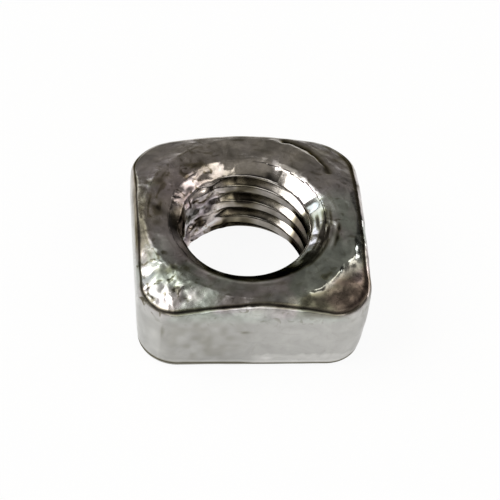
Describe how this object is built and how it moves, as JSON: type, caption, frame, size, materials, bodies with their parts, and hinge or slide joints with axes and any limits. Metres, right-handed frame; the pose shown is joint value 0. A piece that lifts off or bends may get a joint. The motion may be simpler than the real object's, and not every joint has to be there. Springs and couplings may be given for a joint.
{
  "type": "square nut",
  "caption": "Square nut with rounded corners, bowed side walls, a corner chamfer on one face and a tapped hole countersunk from both faces.",
  "frame": {"origin": "on the thread axis, in the plane of the flat bearing face", "axes": "+Z along the thread axis, from the bearing face to the chamfered face; X and Y square to the side walls"},
  "size_m": [0.008, 0.0079, 0.0033],
  "materials": {
    "plated_steel": "bright nickel plating over cold formed steel, with soft waves, small dents and faint stains"
  },
  "bodies": {
    "root": {"square_nut": "plated_steel"}
  },
  "joints": []
}
